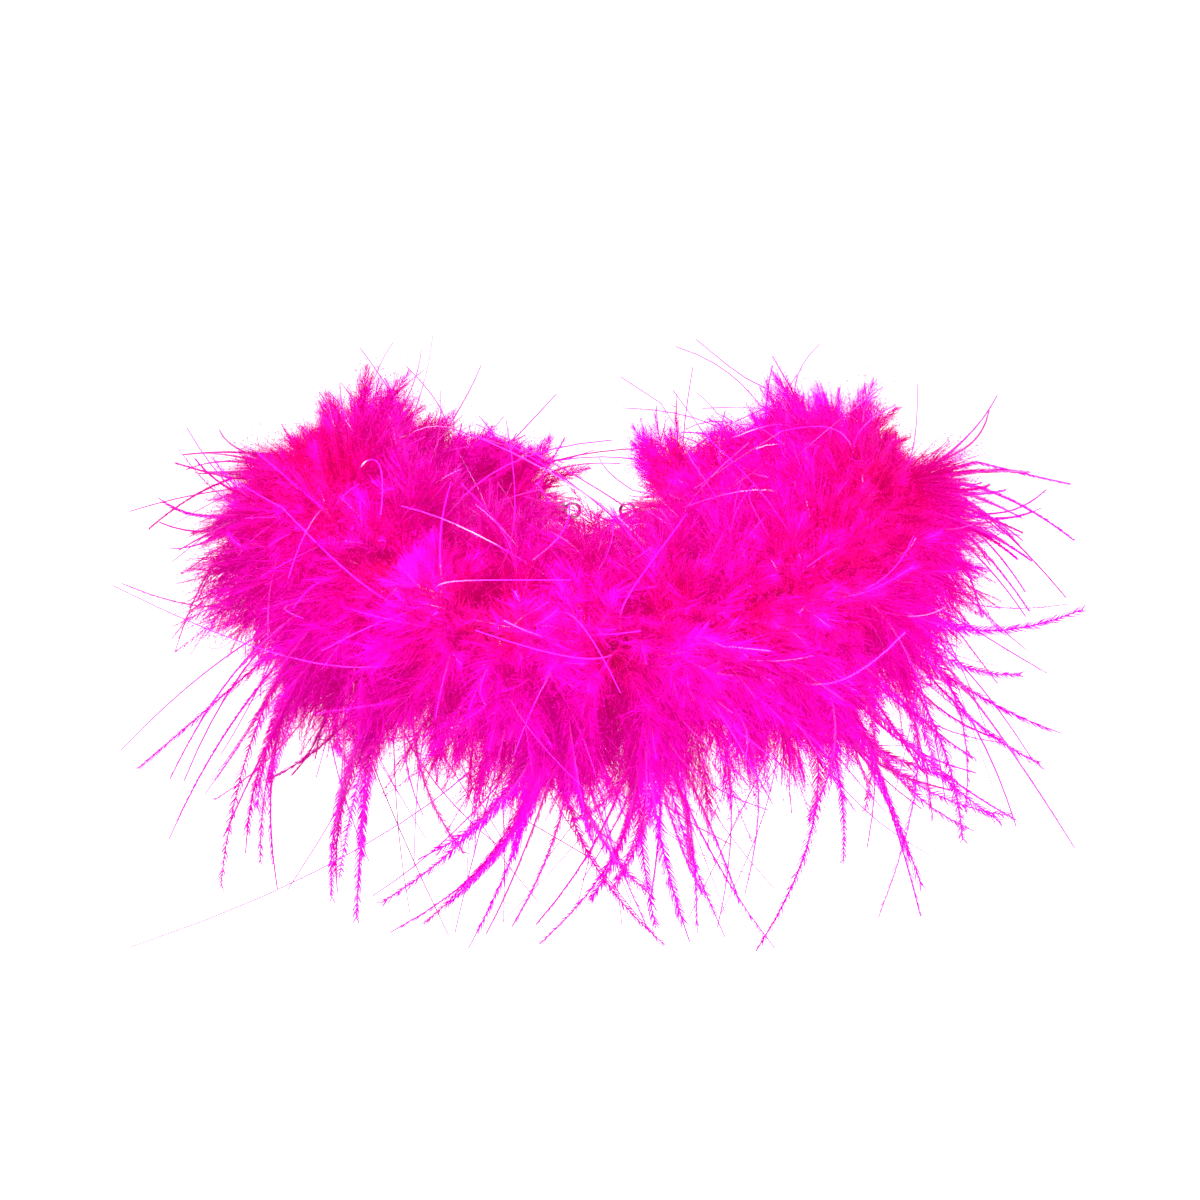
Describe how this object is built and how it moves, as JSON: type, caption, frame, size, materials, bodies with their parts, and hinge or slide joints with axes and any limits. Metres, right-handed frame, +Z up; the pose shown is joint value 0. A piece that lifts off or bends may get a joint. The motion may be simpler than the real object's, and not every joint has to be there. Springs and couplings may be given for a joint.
{
  "type": "feather boa",
  "caption": "Short marabou feather boa worn round the neck, hot pink down on a flexible cord with a lobster clasp and extension chain.",
  "frame": {"origin": "centre of the neck opening, level with the core cord at the two sides", "axes": "+X to the right as seen from the front, +Y to the back where the clasp is, +Z up along the neck"},
  "size_m": [0.2043, 0.1931, 0.106],
  "materials": {
    "marabou_down": "dyed turkey down, soft, dull, translucent at the tips",
    "core_cord": "twisted cotton cord dyed to match",
    "quill": "dyed feather quill, smooth and waxy",
    "binding_thread": "wound polyester thread with a slight sheen",
    "silver_plate": "bright silver-tone plating with light handling wear",
    "spring_steel": "drawn steel wire"
  },
  "bodies": {
    "front": {"core_cord_front": "core_cord", "quill_bundles_front": "quill", "binding_thread_front": "binding_thread", "plume_tuft_front_1": "marabou_down", "plume_tuft_front_2": "marabou_down", "plume_tuft_front_3": "marabou_down", "long_plumes_front": "marabou_down"},
    "left_1": {"core_cord_left_1": "core_cord", "quill_bundles_left_1": "quill", "binding_thread_left_1": "binding_thread", "plume_tuft_left_1_1": "marabou_down", "plume_tuft_left_1_2": "marabou_down", "plume_tuft_left_1_3": "marabou_down", "long_plumes_left_1": "marabou_down"},
    "left_2": {"core_cord_left_2": "core_cord", "quill_bundles_left_2": "quill", "binding_thread_left_2": "binding_thread", "plume_tuft_left_2_1": "marabou_down", "plume_tuft_left_2_2": "marabou_down", "plume_tuft_left_2_3": "marabou_down", "long_plumes_left_2": "marabou_down"},
    "left_3": {"core_cord_left_3": "core_cord", "quill_bundles_left_3": "quill", "binding_thread_left_3": "binding_thread", "plume_tuft_left_3_1": "marabou_down", "plume_tuft_left_3_2": "marabou_down", "plume_tuft_left_3_3": "marabou_down", "end_cap_left": "silver_plate"},
    "right_1": {"core_cord_right_1": "core_cord", "quill_bundles_right_1": "quill", "binding_thread_right_1": "binding_thread", "plume_tuft_right_1_1": "marabou_down", "plume_tuft_right_1_2": "marabou_down", "plume_tuft_right_1_3": "marabou_down", "long_plumes_right_1": "marabou_down"},
    "right_2": {"core_cord_right_2": "core_cord", "quill_bundles_right_2": "quill", "binding_thread_right_2": "binding_thread", "plume_tuft_right_2_1": "marabou_down", "plume_tuft_right_2_2": "marabou_down", "plume_tuft_right_2_3": "marabou_down", "long_plumes_right_2": "marabou_down"},
    "right_3": {"core_cord_right_3": "core_cord", "quill_bundles_right_3": "quill", "binding_thread_right_3": "binding_thread", "plume_tuft_right_3_1": "marabou_down", "plume_tuft_right_3_2": "marabou_down", "plume_tuft_right_3_3": "marabou_down", "end_cap_right": "silver_plate"},
    "clasp": {"jump_ring_left": "silver_plate", "clasp_body": "silver_plate", "trigger_pin": "spring_steel", "trigger_spring": "spring_steel"},
    "trigger": {"clasp_trigger": "silver_plate"},
    "chain_upper": {"jump_ring_right": "silver_plate", "chain_links_upper": "silver_plate"},
    "chain_lower": {"chain_links_lower": "silver_plate", "chain_end_drop": "silver_plate"}
  },
  "joints": [
    {"name": "collar_open", "type": "hinge", "parent": "front", "child": "left_1", "pos_m": [-0.02453, -0.05158, -0.02258], "axis": [0, 0, 1], "range_deg": [0, 24]},
    {"name": "flex_left_2", "type": "hinge", "parent": "left_1", "child": "left_2", "pos_m": [-0.05842, -0.02097, -0.00487], "axis": [0, 0, 1], "range_deg": [0, 24]},
    {"name": "flex_left_3", "type": "hinge", "parent": "left_2", "child": "left_3", "pos_m": [-0.05572, 0.02614, -0.00462], "axis": [0, 0, 1], "range_deg": [0, 24]},
    {"name": "flex_right_1", "type": "hinge", "parent": "front", "child": "right_1", "pos_m": [0.02453, -0.05158, -0.02258], "axis": [0, 0, -1], "range_deg": [0, 24]},
    {"name": "flex_right_2", "type": "hinge", "parent": "right_1", "child": "right_2", "pos_m": [0.05842, -0.02097, -0.00487], "axis": [0, 0, -1], "range_deg": [0, 24]},
    {"name": "flex_right_3", "type": "hinge", "parent": "right_2", "child": "right_3", "pos_m": [0.05572, 0.02614, -0.00462], "axis": [0, 0, -1], "range_deg": [0, 24]},
    {"name": "clasp_swing", "type": "hinge", "parent": "left_3", "child": "clasp", "pos_m": [-0.0067, 0.05574, -0.01677], "axis": [1, 0, 0], "range_deg": [-55, 55]},
    {"name": "clasp_trigger", "type": "hinge", "parent": "clasp", "child": "trigger", "pos_m": [-0.0047, 0.05574, -0.02357], "axis": [0, 1, 0], "range_deg": [0, 26], "stiffness_Nm_per_rad": 0.0002, "springref_deg": -20.05},
    {"name": "chain_swing", "type": "hinge", "parent": "right_3", "child": "chain_upper", "pos_m": [0.0067, 0.05574, -0.01677], "axis": [1, 0, 0], "range_deg": [-55, 55]},
    {"name": "chain_bend", "type": "hinge", "parent": "chain_upper", "child": "chain_lower", "pos_m": [0.0067, 0.05574, -0.03837], "axis": [1, 0, 0], "range_deg": [-50, 50]}
  ],
  "couplings": [
    {"joint": "flex_left_2", "follows": "collar_open", "ratio": 1},
    {"joint": "flex_left_3", "follows": "collar_open", "ratio": 1},
    {"joint": "flex_right_1", "follows": "collar_open", "ratio": 1},
    {"joint": "flex_right_2", "follows": "collar_open", "ratio": 1},
    {"joint": "flex_right_3", "follows": "collar_open", "ratio": 1}
  ]
}
